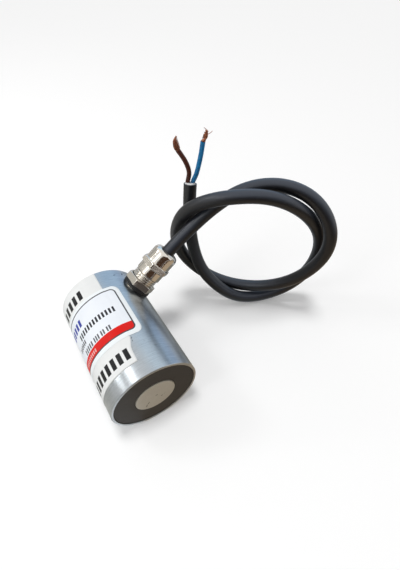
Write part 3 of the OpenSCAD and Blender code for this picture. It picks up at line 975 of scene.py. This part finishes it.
def fill_cable():
    """The white filler round the cores, pulled up a little and roughly cut."""
    chance = random.Random(5)
    end, way, _ = cable_end()
    side = way.orthogonal().normalized()
    other = way.cross(side)
    around = 48
    ragged = [chance.uniform(-0.12, 0.16) for _ in range(around)]
    # Each ring's radius, its height over the jacket's end, and whether it follows the rough cut
    rings = [
        (3.16, -0.6, False), (3.16, 0.16, False), (3.08, 0.5, True), (2.8, 0.72, True),
        (2.0, 0.78, False), (1.0, 0.72, False), (0.02, 0.7, False),
    ]
    points = []
    for radius, lift, rough in rings:
        for more, angle in zip(ragged, full_turn(around)):
            height = lift + (more if rough else 0)
            out = side * math.cos(angle) + other * math.sin(angle)
            points.append(tuple(end + way * height + out * radius))
    plastic = plain_moulding("white_filler", (0.70, 0.70, 0.70), (0.86, 0.86, 0.85), 0.55)
    shape = points, grid(len(rings), around)
    return piece("white_filler", shape, plastic, ["cable_filler"])


def core_radius(far, angle):
    """A core isn't quite round, and is pinched where its insulation was cut."""
    pinch = 0.94 if far > 0.985 else 1.0
    return CORE_R * pinch * (1 + 0.012 * math.sin(far * 21 + 1.3 * math.cos(angle)))


def insulated_core(colour, side, route, tones):
    """One core, which stands off to one side (-1 or 1) of the filler's middle and follows a
    route to where its insulation was cut. tones are its deep and its bright colour."""
    end, way, across = cable_end()
    root = end + way * CORE_LIFT + way.cross(across) * CORE_LEAN
    start = root + across * (side * CORE_OFFSET)
    line = spline([start, start + way * CORE_STRAIGHT, *route], 12)
    line.insert(0, line[0] - (line[1] - line[0]).normalized() * CORE_ROOT)
    cut_end = ((0.97, 0.05), (0.80, 0.06), (0.72, -0.25), (0.02, -0.3))
    piece(
        f"{colour}_core", hose(line, core_radius, 26, (FLAT_START, cut_end)),
        core_insulation(f"{colour}_insulation", *tones),
        [f"core_{colour}"],
    )
    return line


def bare_strands(colour, core, tip, shape, seed, copper):
    """Fine copper strands from the end of a core's line on to its tip. shape(strand, share) gives
    where a strand runs across the bundle there, in millimetres, as (distance out, angle), or
    nothing past its own end."""
    chance = random.Random(seed)
    under_cut = core[-1] - (core[-1] - core[-2]) * 0.5
    line = spline([under_cut, core[-1], *tip], 9)
    sides = frames_along(line)
    tips = ((0.05, 0.0),), ((0.5, 0.07), (0.05, 0.09))
    hoses = []
    for strand in range(STRANDS):
        shift = chance.uniform(-0.08, 0.08), chance.uniform(-0.08, 0.08)
        path = []
        for index, (point, (side, other)) in enumerate(zip(line, sides)):
            spot = shape(strand, index / (len(line) - 1))
            if spot is None:
                break
            out, angle = spot
            across = side * (math.cos(angle) * out + shift[0])
            across += other * (math.sin(angle) * out + shift[1])
            path.append(point + across)
        hoses.append(hose(path, STRAND_R, 6, tips))
    return piece(
        f"{colour}_strands", shell(hoses), copper, [f"strands_{colour}"], crisp=False,
    )


def spindle(strand, share):
    """Strands that bulge and then close to a point, with one wisp standing off."""
    wisp = 33
    reach = math.sqrt((strand + 0.5) / STRANDS)
    length = 1.0 - 0.32 * ((strand * 7) % 10) / 10
    if share > length:
        return None
    swell = 0.95 + 0.80 * math.sin(math.pi * min(1.1 * share ** 1.2, 1)) - 0.85 * share ** 1.8
    if strand == wisp:
        swell += 1.1 * max(0, share - 0.2)
    return reach * swell, strand * GOLDEN_ANGLE + 1.4 * share


def two_lobed_twist(strand, share):
    """Two bunches of strands wound round each other, with three stray tips."""
    strays = {36: 2.2, 37: 2.6, 39: -1.8}
    bunch = strand % 2
    rank = strand // 2
    reach = 0.62 * math.sqrt((rank + 0.5) / (STRANDS / 2))
    length = 0.86 + 0.03 * ((strand * 3) % 5)
    stray = strays.get(strand)
    if share > (1.0 if stray else length):
        return None
    own = rank * GOLDEN_ANGLE + 6.0 * share
    turn = math.pi * bunch + 6.4 * share
    open_out = 0.25 + 0.62 * math.sin(math.pi * min(share * 1.25, 1))
    if stray:
        open_out += abs(stray) * max(0, share - 0.72) * 3.2
        turn += stray * 0.25
    x = math.cos(turn) * open_out + math.cos(own) * reach
    y = math.sin(turn) * open_out + math.sin(own) * reach
    return math.hypot(x, y), math.atan2(y, x)


# ---- the magnet ----


def build_magnet():
    """The tube, the plate that closes it, the pole with its tapped hole, and the resin."""
    edge = TUBE_LEN - FRONT_CHAMFER
    tube_profile = eased_corners([
        (BORE_R, 0), (TUBE_R - REAR_CHAMFER, 0), (TUBE_R, REAR_CHAMFER), (TUBE_R, edge),
        (TUBE_R - FRONT_CHAMFER, TUBE_LEN), (BORE_R, TUBE_LEN),
    ], [0.12, 0.25, 0.3, 0.2, 0.2, 0.15])
    tube = turned(tube_profile, 224)
    piece("tube_shell", tube, turned_zinc(), ["housing_tube"], ALONG_TUBE)

    outer = BORE_R - CLEARANCE
    inner = SPIGOT_R + CLEARANCE
    plate_profile = [(inner, 0), (outer, 0), (outer, PLATE_T), (inner, PLATE_T)]
    plate = turned(eased_corners(plate_profile, [0.35, 0.4, 0.1, 0.1]))
    piece("rear_plate", plate, faced_zinc(), ["back_plate"], ALONG_TUBE)

    pole_profile = eased_corners([
        (0, TUBE_LEN), (POLE_R, TUBE_LEN), (POLE_R, PLATE_T), (SPIGOT_R, PLATE_T),
        (SPIGOT_R, 0), (THREAD_R + THREAD_CHAMFER, 0), (THREAD_R, THREAD_CHAMFER),
    ], [0, 0.25, 0.1, 0.1, 0.3, 0.08, 0], False)
    last_turn = THREAD_DEPTH - THREAD_RUNOUT
    blind_end = [(THREAD_R, last_turn), (THREAD_R, THREAD_DEPTH), (0, THREAD_DEPTH)]
    pole = shell([
        turned(pole_profile, 144, False),
        screw_thread(
            THREAD_R, THREAD_RIDGE, THREAD_PITCH, THREAD_CHAMFER, last_turn, inside=True,
            around=144,
        ),
        turned(blind_end, 144, False),
    ])
    piece("pole", pole, ground_iron(), ["pole_core"], ALONG_TUBE)

    level = TUBE_LEN - POTTING_SINK
    inner = POLE_R + CLEARANCE
    potting_profile = eased_corners([
        (inner, level - POTTING_T), (inner, level - 0.35), (inner + 0.35, level - 0.05),
        ((inner + outer) / 2, level - 0.02), (outer - 0.3, level), (outer, level - 0.25),
        (outer, level - POTTING_T),
    ], [0, 0.1, 0.2, 0, 0.15, 0.1, 0])
    potting = turned(potting_profile)
    piece("potting", potting, potting_resin(), ["face_resin"], ALONG_TUBE)


def squeezed_washer():
    """The rubber washer, bulged by the lock nut and seated on the round of the tube."""
    around = 120
    bore = GLAND_THREAD_R + CLEARANCE
    top = LOCKNUT_S - WASHER_PRESSED - TUBE_R + WASHER_SQUEEZE - 0.03
    rim = eased_corners([
        (bore, 0), (WASHER_R, 0), (WASHER_R, 1.15), (WASHER_R - 0.35, 1.45),
        (WASHER_R, 1.75), (WASHER_R, top), (bore, top),
    ], [0.1, 0.35, 0.15, 0.2, 0.15, 0.35, 0.1])
    points = []
    for radius, lift in rim:
        for angle in full_turn(around):
            seat = math.sqrt(TUBE_R ** 2 - (radius * math.sin(angle)) ** 2)
            level = max(TUBE_R - WASHER_SQUEEZE + lift, seat + 0.02)
            points.append(polar(radius, angle, level))
    return points, grid(len(rim), around, True)


def build_gland():
    """The gland from the tube outwards: washer, lock nut, threaded sleeve and dome nut."""
    nickel = nickel_plate()
    washer = squeezed_washer()
    piece("gasket", washer, gasket_rubber(), ["gland_gasket"], ON_GLAND)

    lock_nut = hexagon(
        LOCKNUT_S - WASHER_PRESSED, LOCKNUT_T + LOCKNUT_TALLER, GLAND_FLATS, turn=0,
        bore=GLAND_THREAD_R + CLEARANCE / 2, bevels=(False, True),
    )
    piece("lock_nut", lock_nut, nickel, ["gland_locknut"], ON_GLAND)

    last_turn = THREAD_TOP_S - 0.4
    collar = eased_corners([
        (COLLAR_BORE_R, THREAD_TOP_S), (COLLAR_R, THREAD_TOP_S),
        (COLLAR_R, THREAD_TOP_S + COLLAR_T), (COLLAR_BORE_R, THREAD_TOP_S + COLLAR_T),
    ], [0, 0.3, 0.3, 0])
    neck = [(NECK_R + 0.3, THREAD_TOP_S - 0.6), (NECK_R, last_turn), (NECK_R, THREAD_TOP_S + 0.05)]
    sleeve = shell([
        screw_thread(GLAND_THREAD_R, GLAND_RIDGE, GLAND_PITCH, GLAND_FOOT_S, last_turn),
        turned(neck, 96, False),
        turned(collar, 144),
    ])
    piece("gland_sleeve", sleeve, nickel, ["gland_body"], ON_GLAND)

    foot = DOME_HEX_S + DOME_HEX_T
    side = [(DOME_R, height) for height in (foot + 0.7, 47.5, 50.0)]
    fillet = [(DOME_R + 0.6, foot + 0.2), (DOME_R + 0.3, foot + 0.32), (DOME_R + 0.1, foot + 0.45)]
    shoulder = []
    for degrees in range(0, 91, 9):
        turn = math.radians(degrees)
        shoulder.append((
            DOME_R - DOME_ROUND * (1 - math.cos(turn)), MOUTH_S - DOME_ROUND * (1 - math.sin(turn)),
        ))
    mouth = [
        (MOUTH_R + 0.36, MOUTH_S), (MOUTH_R + 0.16, MOUTH_S - 0.05),
        (MOUTH_R + 0.04, MOUTH_S - 0.2), (MOUTH_R, MOUTH_S - 0.5), (MOUTH_R, MOUTH_S - 1.3),
    ]
    dome = shell([
        hexagon(DOME_HEX_S, DOME_HEX_T + DOME_HEX_TALLER, GLAND_FLATS, turn=4, bore=5.0),
        turned(fillet + side + shoulder + mouth, 144, False),
    ])
    piece("dome_nut", dome, nickel, ["gland_dome_nut"], ON_GLAND)


# ---- labels ----

# How far the tear has moved the lower label's near edge, in degrees, at places along it
TEAR = [
    (53.2, 0.0), (54.8, 0.5), (56.6, 1.8), (59.0, 4.0), (61.0, 5.2), (63.5, 5.5), (68.7, 5.9),
]


def torn_edge(along):
    """The lower label's near edge, which is torn back towards the front."""
    if along <= TEAR[0][0]:
        return LABEL_NEAR
    for (start, low), (end, high) in zip(TEAR, TEAR[1:]):
        if along <= end:
            return LABEL_NEAR + low + (high - low) * (along - start) / (end - start)
    return LABEL_NEAR + TEAR[-1][1]


def step_up(angle):
    """How far the upper label rises where it runs on to the lower one."""
    return STEP_UP * eased_share((angle - STEP_START) / STEP_WIDTH)


def stick_labels():
    """The lower label with its torn edge, and the upper one with its round corners."""
    steps = 90
    rows = []
    for step in range(steps + 1):
        along = LABEL_REAR + (LABEL_FRONT - LABEL_REAR) * step / steps
        rows.append((along, torn_edge(along), LABEL_FAR))
    sheet = wrapped_sheet(rows, lambda angle: 0.0)
    piece("label_lower", sheet, lower_label(), ["label_base"], ALONG_TUBE)

    steps = 30
    length = PATCH_FRONT - PATCH_REAR
    straight = length - 2 * PATCH_CORNER
    corner = [PATCH_CORNER * (1 - math.cos(math.radians(a))) for a in range(0, 90, 9)]
    places = corner + [PATCH_CORNER + straight * step / steps for step in range(steps + 1)]
    places += [length - place for place in reversed(corner)]
    rows = []
    for place in places:
        depth = min(place, length - place, PATCH_CORNER)
        inset = PATCH_CORNER - math.sqrt(PATCH_CORNER ** 2 - (PATCH_CORNER - depth) ** 2)
        inset = math.degrees(inset / TUBE_R)
        rows.append((PATCH_REAR + place, PATCH_NEAR + inset, PATCH_FAR - inset))
    sheet = wrapped_sheet(rows, step_up)
    piece("label_upper", sheet, upper_label(), ["label_patch"], ALONG_TUBE)


# ---- what stays out of sight inside ----

# CAD node, then its finish: name, dark and light tone, and roughness
INNER_PLASTICS = [
    ("rear_resin", "back_resin", (0.045, 0.04, 0.034), (0.08, 0.07, 0.06), 0.6),
    ("coil_former", "bobbin_plastic", (0.62, 0.58, 0.48), (0.74, 0.70, 0.60), 0.5),
    ("coil_tape", "amber_tape", (0.55, 0.40, 0.12), (0.68, 0.52, 0.20), 0.3),
    ("splice_sleeves", "shrunk_sleeve", (0.02, 0.02, 0.022), (0.045, 0.045, 0.05), 0.5),
    ("core_tail_brown", "inner_brown", (0.10, 0.04, 0.02), (0.17, 0.07, 0.035), 0.4),
    ("core_tail_blue", "inner_blue", (0.01, 0.10, 0.30), (0.02, 0.18, 0.42), 0.4),
    ("gland_claws", "claw_plastic", (0.70, 0.70, 0.68), (0.82, 0.82, 0.80), 0.4),
    ("gland_seal", "seal_rubber", (0.015, 0.015, 0.016), (0.035, 0.035, 0.036), 0.6),
]


def finish_inner_pieces():
    """Gives the CAD pieces that stay their own finishes."""
    coil = wound_copper()
    kept = {"coil_winding": coil, "coil_leads": coil}
    for node, *look in INNER_PLASTICS:
        kept[node] = plain_moulding(*look)
    for name, finish in kept.items():
        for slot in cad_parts[name].material_slots:
            slot.material = finish


# ---- putting it together ----

set_camera()
jacket, cable_line = lay_cable()
filler = fill_cable()
copper = bare_copper()
brown_core = insulated_core(
    "brown", -1, BROWN_ROUTE, [(0.040, 0.0075, 0.0025), (0.105, 0.022, 0.008)]
)
blue_core = insulated_core("blue", 1, BLUE_ROUTE, [(0.002, 0.112, 0.28), (0.006, 0.205, 0.46)])
brown_strands = bare_strands("brown", brown_core, BROWN_TIP, spindle, 11, copper)
blue_strands = bare_strands("blue", blue_core, BLUE_TIP, two_lobed_twist, 4, copper)

[point * MM for point in cable_line]

build_magnet()
build_gland()
stick_labels()
finish_inner_pieces()
light_studio()
lay_floor()

bpy.context.scene.view_settings.view_transform = "Standard"
